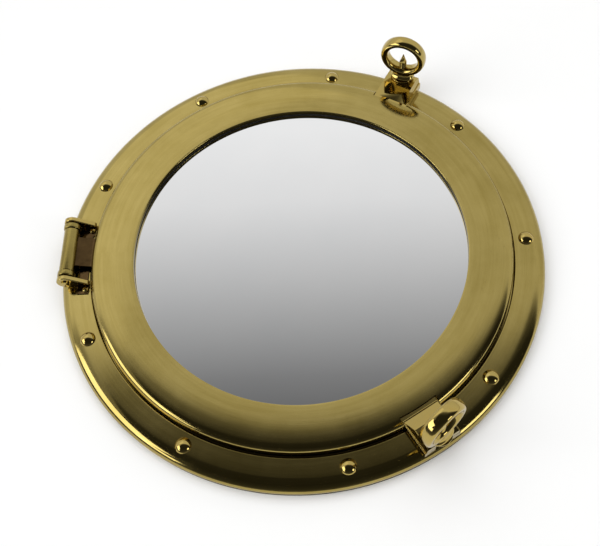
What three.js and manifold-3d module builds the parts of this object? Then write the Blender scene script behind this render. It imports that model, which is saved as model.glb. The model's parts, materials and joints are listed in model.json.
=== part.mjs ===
// Opening porthole: a round brass flange with a hinged, mirror-glazed door and two swing-bolt dogs.
// Millimetres, +Z up. The porthole lies on its back: z = 0 is the flange's mounting face, the origin
// is the ring's centre, the hinge is on the -X side and the dogs are 60 degrees either side of +X.
import * as THREE from 'three';
import { mergeVertices } from 'three/addons/utils/BufferGeometryUtils.js';
import Module from 'manifold-3d';

const wasm = await Module();
wasm.setup();

const RING_STEPS = 80;
const GAP = 0.3;

// Flange
const FLANGE_R = 190.5;
const FACE_Z = 11;
const REBATE_R = 166.9;
const REBATE_Z = 4.6;
const CLEAR_R = 146;
const GASKET_IN_R = 152.6;
const GASKET_OUT_R = 157.8;
const RIVET_CIRCLE_R = 176.8;
const RIVET_ANGLES = [0, 40, 80, 118.7, 156.7, 203.3, 241.3, 280, 320];
const RIVET_HOLE_R = 2.4;

// Door
const DOOR_R = 165.5;
const DOOR_BOTTOM_Z = 6.4;
const DOOR_TOP_Z = 19.6;
const BORE_R = 131;
const GLASS_R = 138;
const GLASS_TOP_Z = 14;
const GLASS_THICK = 3;
const RETAINER_SCREWS = 6;
const RETAINER_CIRCLE_R = 145;

// Hinge
const HINGE_X = -183;
const HINGE_Z = FACE_Z + 7.3;
const HINGE_Y = 3.4;
const HINGE_HALF = 28.4;
const HINGE_FOOT_X = -165.4;
const EAR_THICK = 3.8;
const EAR_R = 6.8;
const HINGE_SCREW_X = -168.4;
const HINGE_SCREW_YS = [25.2, -28.2];
const PIN_R = 2.5;
const BARREL_R = 6;
const BARREL_HALF = 18.8;
const COLLAR_R = 6.7;
const COLLAR_THICK = 4.4;
const STRAP_HALF = 13;
const STRAP_END_X = -157;
const STRAP_SCREW_X = -160.4;
const STRAP_SCREW_Y = 7;

// Dogs
const DOG_ANGLES = [60, -59.3];
const NUT_TURNS = [8, 11];
const DOG_R = 183.5;
const PIVOT_Z = FACE_Z + 3.5;
const PIVOT_PIN_R = 1.4;
const CLEVIS_HALF = 5.7;
const CLEVIS_R = 3.1;
const LUG_HALF = 15;
const LUG_IN_R = 159;
const LUG_END_R = 188.6;
const LUG_STEP_R = 161.4;
const LUG_STEP_Z = FACE_Z + 7;
const LUG_CREST_R = 172.2;
const LUG_CREST_HALF = 12.7;
const LUG_TOP_Z = FACE_Z + 14;
const SLOT_HALF = 6.2;
const BOLT_R = 3;
const BOLT_SHOULDER_Z = FACE_Z + 32.5;
const BOLT_TIP_Z = FACE_Z + 41;
const WASHER_R = 9;
const WASHER_THICK = 1.2;
const EYE_R = 15.9;
const EYE_HALF_THICK = 3.2;
const EYE_HALF_DEPTH = 5.4;
const EYE_Z = FACE_Z + 38.5;

const rad = (deg) => (deg * Math.PI) / 180;

function solidOf(geometry) {
  const plain = geometry.clone();
  plain.deleteAttribute('normal');
  plain.deleteAttribute('uv');
  const joined = mergeVertices(plain, 1e-4);
  const mesh = new wasm.Mesh({
    numProp: 3,
    vertProperties: new Float32Array(joined.attributes.position.array),
    triVerts: new Uint32Array(joined.index.array),
  });
  return new wasm.Manifold(mesh);
}

function geometryOf(solid) {
  const mesh = solid.getMesh();
  const geometry = new THREE.BufferGeometry();
  geometry.setAttribute('position', new THREE.BufferAttribute(new Float32Array(mesh.vertProperties), 3));
  geometry.setIndex(new THREE.BufferAttribute(new Uint32Array(mesh.triVerts), 1));
  return geometry;
}

// Turns a closed outline of [radius, height] points about Z.
function turned(points, steps = RING_STEPS) {
  const outline = points.map(([r, z]) => new THREE.Vector2(r, z));
  const lathe = new THREE.LatheGeometry(outline, steps);
  lathe.rotateX(Math.PI / 2);
  const solid = solidOf(lathe);
  return solid.volume() < 0 ? solidOf(flipped(lathe)) : solid;
}

function flipped(geometry) {
  const copy = geometry.clone();
  const index = copy.index.array;
  for (let i = 0; i < index.length; i += 3) {
    const first = index[i];
    index[i] = index[i + 2];
    index[i + 2] = first;
  }
  return copy;
}

function box(x0, x1, y0, y1, z0, z1) {
  const geometry = new THREE.BoxGeometry(x1 - x0, y1 - y0, z1 - z0);
  geometry.translate((x0 + x1) / 2, (y0 + y1) / 2, (z0 + z1) / 2);
  return solidOf(geometry);
}

function upright(x, y, r, z0, z1, steps = 20) {
  const geometry = new THREE.CylinderGeometry(r, r, z1 - z0, steps);
  geometry.rotateX(Math.PI / 2);
  geometry.translate(x, y, (z0 + z1) / 2);
  return solidOf(geometry);
}

// A cylinder lying along Y.
function crosswise(x, z, r, y0, y1, steps = 24) {
  const geometry = new THREE.CylinderGeometry(r, r, y1 - y0, steps);
  geometry.translate(x, (y0 + y1) / 2, z);
  return solidOf(geometry);
}

// A plate standing across Y, drawn as [x, z] points.
function plate(points, y0, y1) {
  const shape = new THREE.Shape(points.map(([x, z]) => new THREE.Vector2(x, z)));
  const geometry = new THREE.ExtrudeGeometry(shape, { depth: y1 - y0, bevelEnabled: false });
  geometry.rotateX(Math.PI / 2);
  geometry.translate(0, y1, 0);
  return solidOf(geometry);
}

function arc(cx, cz, r, from, to, steps) {
  const points = [];
  for (let i = 0; i <= steps; i += 1) {
    const a = rad(from + ((to - from) * i) / steps);
    points.push([cx + r * Math.cos(a), cz + r * Math.sin(a)]);
  }
  return points;
}

// A domed head with a plain shank below it.
function domed(headR, headH, shankR, seatZ, tipZ, steps = 16, rings = 3) {
  const points = [[0, tipZ], [shankR, tipZ], [shankR, seatZ], [headR, seatZ]];
  const bend = (headR * headR + headH * headH) / (2 * headH);
  const start = Math.asin(headR / bend);
  for (let i = 1; i <= rings; i += 1) {
    const a = start * (1 - i / (rings + 1));
    points.push([bend * Math.sin(a), seatZ + headH - bend + bend * Math.cos(a)]);
  }
  points.push([0, seatZ + headH]);
  return turned(points, steps);
}

// A body stacked up Z from rounded rectangles given as [height, half depth, half width, squareness].
function stacked(sections, steps = 24) {
  const points = [];
  const faces = [];
  for (const [z, halfX, halfY, power] of sections) {
    for (let i = 0; i < steps; i += 1) {
      const a = (2 * Math.PI * i) / steps;
      const c = Math.cos(a);
      const s = Math.sin(a);
      const x = Math.sign(c) * halfX * Math.abs(c) ** (2 / power);
      const y = Math.sign(s) * halfY * Math.abs(s) ** (2 / power);
      points.push(x, y, z);
    }
  }
  for (let row = 0; row + 1 < sections.length; row += 1) {
    for (let i = 0; i < steps; i += 1) {
      const a = row * steps + i;
      const b = row * steps + ((i + 1) % steps);
      faces.push(a, b, b + steps, a, b + steps, a + steps);
    }
  }
  const last = (sections.length - 1) * steps;
  for (let i = 1; i + 1 < steps; i += 1) {
    faces.push(0, i + 1, i, last, last + i, last + i + 1);
  }
  return new wasm.Manifold(new wasm.Mesh({
    numProp: 3,
    vertProperties: new Float32Array(points),
    triVerts: new Uint32Array(faces),
  }));
}

function at(solid, x, y) {
  return solid.translate([x, y, 0]);
}

function polar(r, deg) {
  return [r * Math.cos(rad(deg)), r * Math.sin(rad(deg))];
}

function brass(color, roughness) {
  return new THREE.MeshStandardMaterial({ color, roughness, metalness: 1 });
}

const MATERIALS = {
  cast_brass: () => brass(0xa08d52, 0.24),
  polished_brass: () => brass(0xb99a45, 0.12),
  mirror: () => new THREE.MeshStandardMaterial({ color: 0xdfe2e4, roughness: 0.02, metalness: 1 }),
  rubber: () => new THREE.MeshStandardMaterial({ color: 0x161514, roughness: 0.8, metalness: 0 }),
  board: () => new THREE.MeshStandardMaterial({ color: 0x2a2622, roughness: 0.9, metalness: 0 }),
};

const porthole = new THREE.Group();
porthole.name = 'opening_porthole';

function add(name, solid, material) {
  const mesh = new THREE.Mesh(geometryOf(solid), MATERIALS[material]());
  mesh.name = name;
  porthole.add(mesh);
}

function mountingFlange() {
  let ring = turned([
    [CLEAR_R, 0], [FLANGE_R - 1, 0], [FLANGE_R, 1], [FLANGE_R, 4.6], [FLANGE_R - 0.8, 6.8],
    [FLANGE_R - 2.6, 8.6], [FLANGE_R - 5.5, 10], [FLANGE_R - 10, FACE_Z], [REBATE_R + 0.8, FACE_Z],
    [REBATE_R, FACE_Z - 0.8], [REBATE_R, REBATE_Z], [CLEAR_R, REBATE_Z], [CLEAR_R, 0],
  ]);
  for (const angle of RIVET_ANGLES) {
    ring = ring.subtract(upright(...polar(RIVET_CIRCLE_R, angle), RIVET_HOLE_R, -1, FACE_Z + 1, 12));
  }
  return ring;
}

function doorGasket() {
  const low = REBATE_Z + GAP;
  const high = DOOR_BOTTOM_Z - GAP;
  return turned([
    [GASKET_IN_R, low], [GASKET_OUT_R, low], [GASKET_OUT_R, high], [GASKET_IN_R, high], [GASKET_IN_R, low],
  ], 48);
}

// The door's ring: a crowned face that dips slightly to the bore, a round outer shoulder, and a rebate
// behind for the glass.
function doorRing() {
  let ring = turned([
    [BORE_R, GLASS_TOP_Z + 1.2], [GLASS_R + 0.4, GLASS_TOP_Z + 1.2], [GLASS_R + 0.4, DOOR_BOTTOM_Z + 1.8],
    [DOOR_R - 13, DOOR_BOTTOM_Z + 1.8], [DOOR_R - 13, DOOR_BOTTOM_Z], [DOOR_R, DOOR_BOTTOM_Z],
    [DOOR_R, FACE_Z + 3.2], [DOOR_R - 0.7, FACE_Z + 5.4], [DOOR_R - 2.4, FACE_Z + 7],
    [DOOR_R - 5.5, FACE_Z + 8], [DOOR_R - 12, DOOR_TOP_Z], [DOOR_R - 17, DOOR_TOP_Z - 0.1],
    [BORE_R + 11, DOOR_TOP_Z - 0.4], [BORE_R + 1.4, DOOR_TOP_Z - 0.9], [BORE_R + 0.3, DOOR_TOP_Z - 1.2],
    [BORE_R, DOOR_TOP_Z - 2],
    [BORE_R, GLASS_TOP_Z + 1.2],
  ]);
  for (const angle of DOG_ANGLES) {
    ring = ring.subtract(lugPocket().rotate([0, 0, angle]));
  }
  return ring.subtract(strapPocket()).subtract(retainerHoles(1.6, DOOR_BOTTOM_Z, DOOR_BOTTOM_Z + 8));
}

function lugPocket() {
  const half = LUG_HALF + GAP;
  const low = FACE_Z + 0.4 - GAP;
  return box(LUG_IN_R - 4, DOOR_R + 2, -half, half, low, DOOR_TOP_Z + 1)
    .subtract(disc(LUG_IN_R - GAP, low - 1, DOOR_TOP_Z + 2, 160));
}

function retainerHoles(r, z0, z1) {
  let holes = null;
  for (let i = 0; i < RETAINER_SCREWS; i += 1) {
    const hole = upright(...polar(RETAINER_CIRCLE_R, 30 + i * 60), r, z0, z1, 10);
    holes = holes ? holes.add(hole) : hole;
  }
  return holes;
}

function glazingGasket() {
  return turned([
    [BORE_R + 0.1, GLASS_TOP_Z + GAP * 0.5], [GLASS_R - 0.3, GLASS_TOP_Z + GAP * 0.5],
    [GLASS_R - 0.3, GLASS_TOP_Z + 1.05], [BORE_R + 0.1, GLASS_TOP_Z + 1.05],
    [BORE_R + 0.1, GLASS_TOP_Z + GAP * 0.5],
  ], 64);
}

function disc(r, z0, z1, steps) {
  return turned([[0, z0], [r, z0], [r, z1], [0, z1]], steps);
}

function retainingRing() {
  const top = DOOR_BOTTOM_Z + 1.5;
  const ring = turned([
    [GLASS_R - 7, DOOR_BOTTOM_Z], [DOOR_R - 13.3, DOOR_BOTTOM_Z], [DOOR_R - 13.3, top],
    [GLASS_R - 7, top], [GLASS_R - 7, DOOR_BOTTOM_Z],
  ], 64);
  return ring.subtract(retainerHoles(1.6, DOOR_BOTTOM_Z - 1, top + 1));
}

// A small round-headed screw driven up into the back of the door's ring.
function retainerScrew() {
  return domed(2.6, 1.1, 1.3, 0, -5.5, 10, 1).rotate([180, 0, 0]).translate([0, 0, DOOR_BOTTOM_Z - GAP]);
}

// A cylinder on the hinge's axis, placed from the middle of the hinge.
function onPin(r, y0, y1, steps = 24) {
  return crosswise(HINGE_X, HINGE_Z, r, HINGE_Y + y0, HINGE_Y + y1, steps);
}

// One hinge ear: a round end about the pin, running down to a low foot near the door's edge.
function ear(y0, y1) {
  const outline = [
    [HINGE_FOOT_X, FACE_Z + GAP], ...arc(HINGE_FOOT_X - 2.4, FACE_Z + 2.4, 2.4, 0, 66, 3),
    ...arc(HINGE_X, HINGE_Z, EAR_R, 66, 262, 13),
  ];
  return plate(outline, HINGE_Y + y0, HINGE_Y + y1);
}

function hingeBracket() {
  const inner = HINGE_HALF - EAR_THICK;
  const low = FACE_Z + GAP;
  let bracket = box(-175.5, -167.5, -31.6, HINGE_Y + HINGE_HALF, low, low + 0.5)
    .add(box(-175.5, -166.2, -31.6, -20, low, low + 0.5))
    .add(box(-175.5, -166.2, 20, HINGE_Y + HINGE_HALF, low, low + 0.5));
  bracket = bracket.add(ear(inner, HINGE_HALF)).add(ear(-HINGE_HALF, -inner));
  for (const y of HINGE_SCREW_YS) {
    bracket = bracket.subtract(upright(HINGE_SCREW_X, y, 1.5, FACE_Z, FACE_Z + 2, 10));
  }
  return bracket.subtract(onPin(PIN_R + 0.05, -HINGE_HALF - 1, HINGE_HALF + 1));
}

// The pin with a low round head at one end and a peened end at the other.
function hingePin() {
  const shaft = onPin(PIN_R, -HINGE_HALF - 1.3, HINGE_HALF + 1.3);
  const head = onPin(PIN_R + 1.1, HINGE_HALF + GAP, HINGE_HALF + 1.6);
  const peened = onPin(PIN_R + 0.7, -HINGE_HALF - 1.4, -HINGE_HALF - GAP);
  return shaft.add(head).add(peened);
}

function pinCollar(y0) {
  return onPin(COLLAR_R, y0, y0 + COLLAR_THICK).subtract(onPin(PIN_R + 0.05, y0 - 1, y0 + COLLAR_THICK + 1));
}

// The door's half of the hinge: a barrel round the pin and a cranked strap let into the door's edge.
function hingeStrap() {
  const low = FACE_Z + 1.5;
  const high = FACE_Z + 4.6;
  const strap = plate([
    [HINGE_X, HINGE_Z - 4], [HINGE_X + 9, HINGE_Z - 4.4], [HINGE_X + 15, low], [STRAP_END_X, low],
    [STRAP_END_X, high], [HINGE_X + 17, high], [HINGE_X + 10, HINGE_Z - 1], [HINGE_X, HINGE_Z + 1],
  ], HINGE_Y - STRAP_HALF, HINGE_Y + STRAP_HALF);
  return onPin(BARREL_R, -BARREL_HALF, BARREL_HALF)
    .add(strap)
    .subtract(onPin(PIN_R + 0.05, -BARREL_HALF - 1, BARREL_HALF + 1))
    .subtract(strapScrewHoles(1.7, low - 1, low + 2.2));
}

function strapScrewHoles(r, z0, z1) {
  const one = upright(STRAP_SCREW_X, HINGE_Y + STRAP_SCREW_Y, r, z0, z1, 10);
  return one.add(upright(STRAP_SCREW_X, HINGE_Y - STRAP_SCREW_Y, r, z0, z1, 10));
}

function strapPocket() {
  const y0 = HINGE_Y - STRAP_HALF - GAP;
  const y1 = HINGE_Y + STRAP_HALF + GAP;
  return box(-DOOR_R - 2, STRAP_END_X + GAP, y0, y1, FACE_Z + 1.5 - GAP, FACE_Z + 4.6 + GAP)
    .add(strapScrewHoles(1.7, DOOR_BOTTOM_Z - 1, FACE_Z + 2));
}

// The lug the nut pulls down on: a tongue from the door's edge that ramps up to a flat seat, tapering
// as it rises, with an open-ended slot for the bolt. The outer corner of the seat is rounded about the
// bolt's pivot, so the washer clears it as the bolt swings out.
function doorLug() {
  const low = FACE_Z + 0.4;
  const seat = LUG_TOP_Z - PIVOT_Z;
  const last = (Math.acos((LUG_END_R - DOG_R) / seat) * 180) / Math.PI;
  const tongue = plate([
    [LUG_IN_R - 3, low], [LUG_END_R, low], [LUG_END_R, LUG_STEP_Z], [LUG_IN_R - 3, LUG_STEP_Z],
  ], -LUG_HALF, LUG_HALF);
  const block = plate([
    [LUG_STEP_R, LUG_STEP_Z - 2], [LUG_END_R, LUG_STEP_Z - 2], ...arc(DOG_R, PIVOT_Z, seat, last, 90, 4),
    [LUG_CREST_R, LUG_TOP_Z], [LUG_STEP_R, LUG_STEP_Z],
  ], -1, 1).warp((point) => {
    const rise = (point[2] - LUG_STEP_Z) / (LUG_TOP_Z - LUG_STEP_Z);
    point[1] *= LUG_HALF - 0.6 - (LUG_HALF - 0.6 - LUG_CREST_HALF) * Math.max(rise, 0);
  });
  const slot = box(DOG_R - CLEVIS_R - 0.7, DOG_R + 8, -SLOT_HALF, SLOT_HALF, FACE_Z - 1, LUG_TOP_Z + 1);
  return tongue.add(block)
    .subtract(slot)
    .subtract(disc(LUG_IN_R, FACE_Z - 1, LUG_TOP_Z + 1, 160));
}

// Two small ears on a foot, standing in the lug's slot, that hold the swing bolt's pin.
function dogClevis() {
  const ears = plate([
    [DOG_R - CLEVIS_R, FACE_Z + GAP], [DOG_R + CLEVIS_R, FACE_Z + GAP],
    ...arc(DOG_R, PIVOT_Z, CLEVIS_R, 0, 180, 8),
  ], -CLEVIS_HALF, CLEVIS_HALF);
  const mouth = box(DOG_R - 9, DOG_R + 9, -BOLT_R, BOLT_R, FACE_Z + GAP + 0.5, FACE_Z + 12);
  return ears.subtract(mouth)
    .subtract(crosswise(DOG_R, PIVOT_Z, PIVOT_PIN_R + 0.05, -CLEVIS_HALF - 1, CLEVIS_HALF + 1, 16));
}

function dogPivotPin() {
  return crosswise(DOG_R, PIVOT_Z, PIVOT_PIN_R, -CLEVIS_HALF, CLEVIS_HALF, 16);
}

// The swing bolt: a flat-sided eye on the pivot pin, a round shank and a pointed tip.
function swingBolt() {
  const flat = BOLT_R - GAP;
  const eye = crosswise(DOG_R, PIVOT_Z, 2.6, -flat, flat, 20);
  const neckTop = PIVOT_Z + 4;
  const neck = box(DOG_R - 2.4, DOG_R + 2.4, -flat, flat, PIVOT_Z, neckTop);
  const shank = turned([
    [0, neckTop - 0.5], [BOLT_R, neckTop - 0.5], [BOLT_R, BOLT_SHOULDER_Z], [0, BOLT_TIP_Z],
  ], 20);
  return eye.add(neck).add(at(shank, DOG_R, 0))
    .subtract(crosswise(DOG_R, PIVOT_Z, PIVOT_PIN_R + 0.05, -BOLT_R - 1, BOLT_R + 1, 16));
}

function dogWasher() {
  const low = LUG_TOP_Z + GAP;
  const high = low + WASHER_THICK;
  const hole = BOLT_R + GAP;
  return at(turned([[hole, low], [WASHER_R, low], [WASHER_R, high], [hole, high], [hole, low]], 28), DOG_R, 0);
}

// The ring nut: a deep finger ring standing on a short flared neck, bored for the bolt.
function ringNut(turn) {
  const z = LUG_TOP_Z + WASHER_THICK + GAP * 2;
  const body = stacked([
    [z, 7.2, 9.6, 2.6], [z + 0.5, 7.6, 10, 2.6], [z + 1.6, 7.6, 10, 2.6], [z + 2.4, 6.9, 9.6, 2.4],
    [z + 3.6, 5.9, 8.8, 2.3], [z + 5.2, 5.3, 8.4, 2.2], [z + 7.4, 4.2, 8.8, 2.2],
  ]);
  const ring = solidOf(new THREE.TorusGeometry(EYE_R, EYE_HALF_THICK, 12, 32))
    .scale([1, 1, EYE_HALF_DEPTH / EYE_HALF_THICK])
    .rotate([90, 0, 0])
    .rotate([0, 0, 90])
    .translate([0, 0, EYE_Z]);
  const bore = upright(0, 0, BOLT_R + 0.06, z - 1, EYE_Z, 20);
  return at(body.add(ring).subtract(bore).rotate([0, 0, turn]), DOG_R, 0);
}

add('mounting_flange', mountingFlange(), 'cast_brass');
add('door_gasket', doorGasket(), 'rubber');
RIVET_ANGLES.forEach((angle, i) => {
  const rivet = at(domed(5.9, 3.3, 2.1, FACE_Z + GAP, 0.5), ...polar(RIVET_CIRCLE_R, angle));
  add(`flange_rivet_${i + 1}`, rivet, 'polished_brass');
});

add('hinge_bracket', hingeBracket(), 'polished_brass');
add('hinge_pin', hingePin(), 'polished_brass');
add('hinge_collar_1', pinCollar(BARREL_HALF + GAP), 'polished_brass');
add('hinge_collar_2', pinCollar(-BARREL_HALF - GAP - COLLAR_THICK), 'polished_brass');
HINGE_SCREW_YS.forEach((y, i) => {
  const screw = domed(2.5, 1.9, 1.2, FACE_Z + 0.5 + GAP * 2, FACE_Z + GAP, 12, 2);
  add(`hinge_screw_${i + 1}`, at(screw, HINGE_SCREW_X, y), 'polished_brass');
});

add('door_ring', doorRing(), 'cast_brass');
add('glazing_gasket', glazingGasket(), 'rubber');
add('mirror_glass', disc(GLASS_R, GLASS_TOP_Z - GLASS_THICK, GLASS_TOP_Z, RING_STEPS), 'mirror');
add('backing_board', disc(GLASS_R, 8.2, GLASS_TOP_Z - GLASS_THICK - GAP, 64), 'board');
add('retaining_ring', retainingRing(), 'cast_brass');
for (let i = 0; i < RETAINER_SCREWS; i += 1) {
  add(`retainer_screw_${i + 1}`, at(retainerScrew(), ...polar(RETAINER_CIRCLE_R, 30 + i * 60)), 'polished_brass');
}
add('hinge_strap', hingeStrap(), 'polished_brass');
[1, -1].forEach((side, i) => {
  const screw = domed(2, 0.6, 1.3, 0, -8, 10, 1).rotate([180, 0, 0]);
  const y = HINGE_Y + side * STRAP_SCREW_Y;
  add(`strap_screw_${i + 1}`, screw.translate([STRAP_SCREW_X, y, DOOR_BOTTOM_Z - GAP]), 'polished_brass');
});

DOG_ANGLES.forEach((angle, i) => {
  const n = i + 1;
  const turn = (solid) => solid.rotate([0, 0, angle]);
  add(`door_lug_${n}`, turn(doorLug()), 'polished_brass');
  add(`dog_clevis_${n}`, turn(dogClevis()), 'polished_brass');
  add(`dog_pivot_pin_${n}`, turn(dogPivotPin()), 'polished_brass');
  add(`swing_bolt_${n}`, turn(swingBolt()), 'polished_brass');
  add(`dog_washer_${n}`, turn(dogWasher()), 'polished_brass');
  add(`ring_nut_${n}`, turn(ringNut(NUT_TURNS[i])), 'polished_brass');
});

export default porthole;
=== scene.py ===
"""Visual model of the opening porthole: polished brass flange, hinged mirror door and two swing-bolt dogs.

Lengths in the tables below are millimetres; meshes are made in metres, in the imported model's frame.
"""

import json
import math

import bmesh
import bpy
from mathutils import Matrix, Vector

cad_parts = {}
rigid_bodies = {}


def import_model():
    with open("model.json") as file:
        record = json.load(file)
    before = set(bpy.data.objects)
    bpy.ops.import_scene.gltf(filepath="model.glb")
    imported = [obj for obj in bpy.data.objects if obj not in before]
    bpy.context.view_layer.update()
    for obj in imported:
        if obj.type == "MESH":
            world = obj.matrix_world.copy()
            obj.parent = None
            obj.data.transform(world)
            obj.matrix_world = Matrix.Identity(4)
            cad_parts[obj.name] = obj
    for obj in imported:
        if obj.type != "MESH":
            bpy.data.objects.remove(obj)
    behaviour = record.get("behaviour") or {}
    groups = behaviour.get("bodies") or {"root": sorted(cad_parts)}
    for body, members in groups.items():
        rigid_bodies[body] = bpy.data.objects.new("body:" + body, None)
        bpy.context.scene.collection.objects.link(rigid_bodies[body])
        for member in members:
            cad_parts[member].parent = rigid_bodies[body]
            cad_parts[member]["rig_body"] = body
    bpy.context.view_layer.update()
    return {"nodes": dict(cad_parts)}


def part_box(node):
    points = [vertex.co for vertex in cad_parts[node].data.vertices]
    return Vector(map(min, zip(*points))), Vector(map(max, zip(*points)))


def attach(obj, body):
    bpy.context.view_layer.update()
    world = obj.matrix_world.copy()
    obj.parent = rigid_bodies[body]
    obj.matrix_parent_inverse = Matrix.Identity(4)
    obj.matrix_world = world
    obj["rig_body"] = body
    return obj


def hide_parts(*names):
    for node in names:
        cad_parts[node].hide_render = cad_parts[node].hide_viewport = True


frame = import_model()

MM = 0.001
RING_STEPS = 288
SMALL_STEPS = 56
GAP = 0.3

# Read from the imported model
FLANGE_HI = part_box("mounting_flange")[1] / MM
DOOR_LO, DOOR_HI = (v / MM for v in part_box("door_ring"))
GLASS_LO, GLASS_HI = (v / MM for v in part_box("mirror_glass"))
FLANGE_R = FLANGE_HI.x
FACE_Z = FLANGE_HI.z
GLASS_R = GLASS_HI.x

# Flange and door
SEAT_Z = 4.6
CLEAR_R = 146.0
REBATE_R = 166.9
RIVET_CIRCLE_R = 176.8
RIVET_HOLE_R = 2.4
SEAL_IN_R = 152.6
BORE_R = 131.0
DOOR_R = 165.5
RETAINER_IN_R = GLASS_R - 7

# Dogs: angles about Z, and how far each ring nut is turned from facing the middle
DOG_ANGLES = (60.0, -59.3)
NUT_TURNS = (8.0, 11.0)
DOG_R = 183.5
PIVOT_Z = FACE_Z + 3.5
PIVOT_PIN_R = 1.4
LUG_IN_R, LUG_END_R, LUG_HALF = 159.0, 188.6, 15.0
LUG_STEP_R, LUG_STEP_Z = 161.4, FACE_Z + 7.0
LUG_CREST_R, LUG_CREST_HALF, LUG_TOP_Z = 172.2, 12.7, FACE_Z + 14.0
SLOT_HALF = 6.2
BOLT_R = 3.0
WASHER_THICK = 1.2


# ---------------------------------------------------------------- meshes

def round_corners(points, steps=4):
    """A closed outline of (a, b, radius) corners, with each corner rounded."""
    outline = []
    count = len(points)
    for i, (a, b, radius) in enumerate(points):
        here = Vector((a, b))
        if radius <= 0:
            outline.append(here)
            continue
        back = Vector(points[i - 1][:2]) - here
        ahead = Vector(points[(i + 1) % count][:2]) - here
        reach = min(radius / max(math.tan(back.angle(ahead) / 2), 0.05), back.length * 0.48,
                    ahead.length * 0.48)
        first = here + back.normalized() * reach
        last = here + ahead.normalized() * reach
        for k in range(steps + 1):
            t = k / steps
            outline.append(first * (1 - t) ** 2 + here * 2 * t * (1 - t) + last * t ** 2)
    return [(p.x, p.y) for p in outline]


def circle(r, z, steps):
    """Vertices round the Z axis at one height."""
    turns = [2 * math.pi * i / steps for i in range(steps)]
    return [(r * math.cos(a), r * math.sin(a), z) for a in turns]


def skin(count, steps):
    """Faces between each of a number of rings of vertices and the next ring."""
    faces = []
    for ring in range(count - 1):
        for i in range(steps):
            a, b = ring * steps + i, ring * steps + (i + 1) % steps
            faces.append([a, b, b + steps, a + steps])
    return faces


def turned(profile, steps=SMALL_STEPS, closed=True):
    """Vertices and faces of (radius, height) points turned about Z. Points on the axis become one vertex."""
    verts, faces, rows = [], [], []
    for r, z in profile:
        if r < 1e-4:
            rows.append([len(verts)])
            verts.append((0.0, 0.0, z))
            continue
        rows.append(list(range(len(verts), len(verts) + steps)))
        verts += circle(r, z, steps)
    for low, high in zip(rows, rows[1:] + (rows[:1] if closed else [])):
        if len(low) == 1 and len(high) == 1:
            continue
        for i in range(steps):
            j = (i + 1) % steps
            corners = [low[i % len(low)], low[j % len(low)], high[j % len(high)], high[i % len(high)]]
            faces.append(list(dict.fromkeys(corners)))
    return verts, faces


def prism(outline, low, high):
    """Vertices and faces of an (x, y) outline raised from low to high."""
    count = len(outline)
    verts = [(x, y, low) for x, y in outline] + [(x, y, high) for x, y in outline]
    faces = [list(range(count))[::-1], list(range(count, 2 * count))]
    faces += [[i, (i + 1) % count, count + (i + 1) % count, count + i] for i in range(count)]
    return verts, faces


def arc(cx, cy, r, start, end, steps):
    """Points on an arc, angles in degrees."""
    angles = [math.radians(start + (end - start) * i / steps) for i in range(steps + 1)]
    return [(cx + r * math.cos(a), cy + r * math.sin(a)) for a in angles]


def mesh_of(name, verts, faces, place=Matrix()):
    """A mesh in metres from millimetre vertices, welded, with its normals facing out."""
    mesh = bpy.data.meshes.new(name)
    mesh.from_pydata([place @ Vector(v) for v in verts], [], faces)
    mesh.transform(Matrix.Scale(MM, 4))
    bm = bmesh.new()
    bm.from_mesh(mesh)
    bmesh.ops.remove_doubles(bm, verts=bm.verts, dist=1e-7)
    bmesh.ops.recalc_face_normals(bm, faces=bm.faces)
    bm.to_mesh(mesh)
    bm.free()
    return mesh


def new_object(name, mesh):
    obj = bpy.data.objects.new(name, mesh)
    bpy.context.scene.collection.objects.link(obj)
    return obj


def bake_modifiers(obj):
    """Puts what the modifiers make into the object's own mesh."""
    bpy.context.view_layer.update()
    evaluated = obj.evaluated_get(bpy.context.evaluated_depsgraph_get())
    made = bpy.data.meshes.new_from_object(evaluated)
    obj.modifiers.clear()
    obj.data = made


def cut(obj, cutters, operation="DIFFERENCE"):
    """Takes the cutters' volume out of the object, or adds it, and removes the cutters."""
    for cutter in cutters:
        change = obj.modifiers.new("cut", "BOOLEAN")
        change.operation = operation
        change.solver = "EXACT"
        change.object = cutter
    bake_modifiers(obj)
    for cutter in cutters:
        bpy.data.objects.remove(cutter)


def bevel(obj, width, segments=3, angle=32):
    change = obj.modifiers.new("bevel", "BEVEL")
    change.width = width * MM
    change.segments = segments
    change.limit_method = "ANGLE"
    change.angle_limit = math.radians(angle)
    change.harden_normals = False
    bake_modifiers(obj)


def shade(obj, angle=38):
    obj.data.shade_smooth()
    obj.data.set_sharp_from_angle(angle=math.radians(angle))


def keep_flats(obj):
    """Leans the normals on the large faces, so flats stay flat beside their rounded edges."""
    shade(obj)
    change = obj.modifiers.new("flats", "WEIGHTED_NORMAL")
    change.weight = 100
    change.keep_sharp = True
    bake_modifiers(obj)


def piece(obj, material, body, nodes, slot, angle=38, flats=False):
    """Finishes a piece: shading, material, the body it rides on and the nodes it stands for."""
    if flats:
        keep_flats(obj)
    else:
        shade(obj, angle)
    obj.data.materials.clear()
    obj.data.materials.append(material)
    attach(obj, body)
    if nodes:
        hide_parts(*nodes)
    if "brass" in slot:
        BRASS_PIECES.objects.link(obj)


def along_y(x, y, z):
    """Carries something turned about Z onto an axis that runs along +Y through a point."""
    return Matrix.Translation((x, y, z)) @ Matrix.Rotation(math.radians(-90), 4, "X")


def dog_place(k):
    """Carries something built about the dog's own axes (X outwards, Z up) to dog k."""
    return Matrix.Rotation(math.radians(DOG_ANGLES[k]), 4, "Z") @ Matrix.Translation((DOG_R, 0, 0))


# ---------------------------------------------------------------- materials

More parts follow.
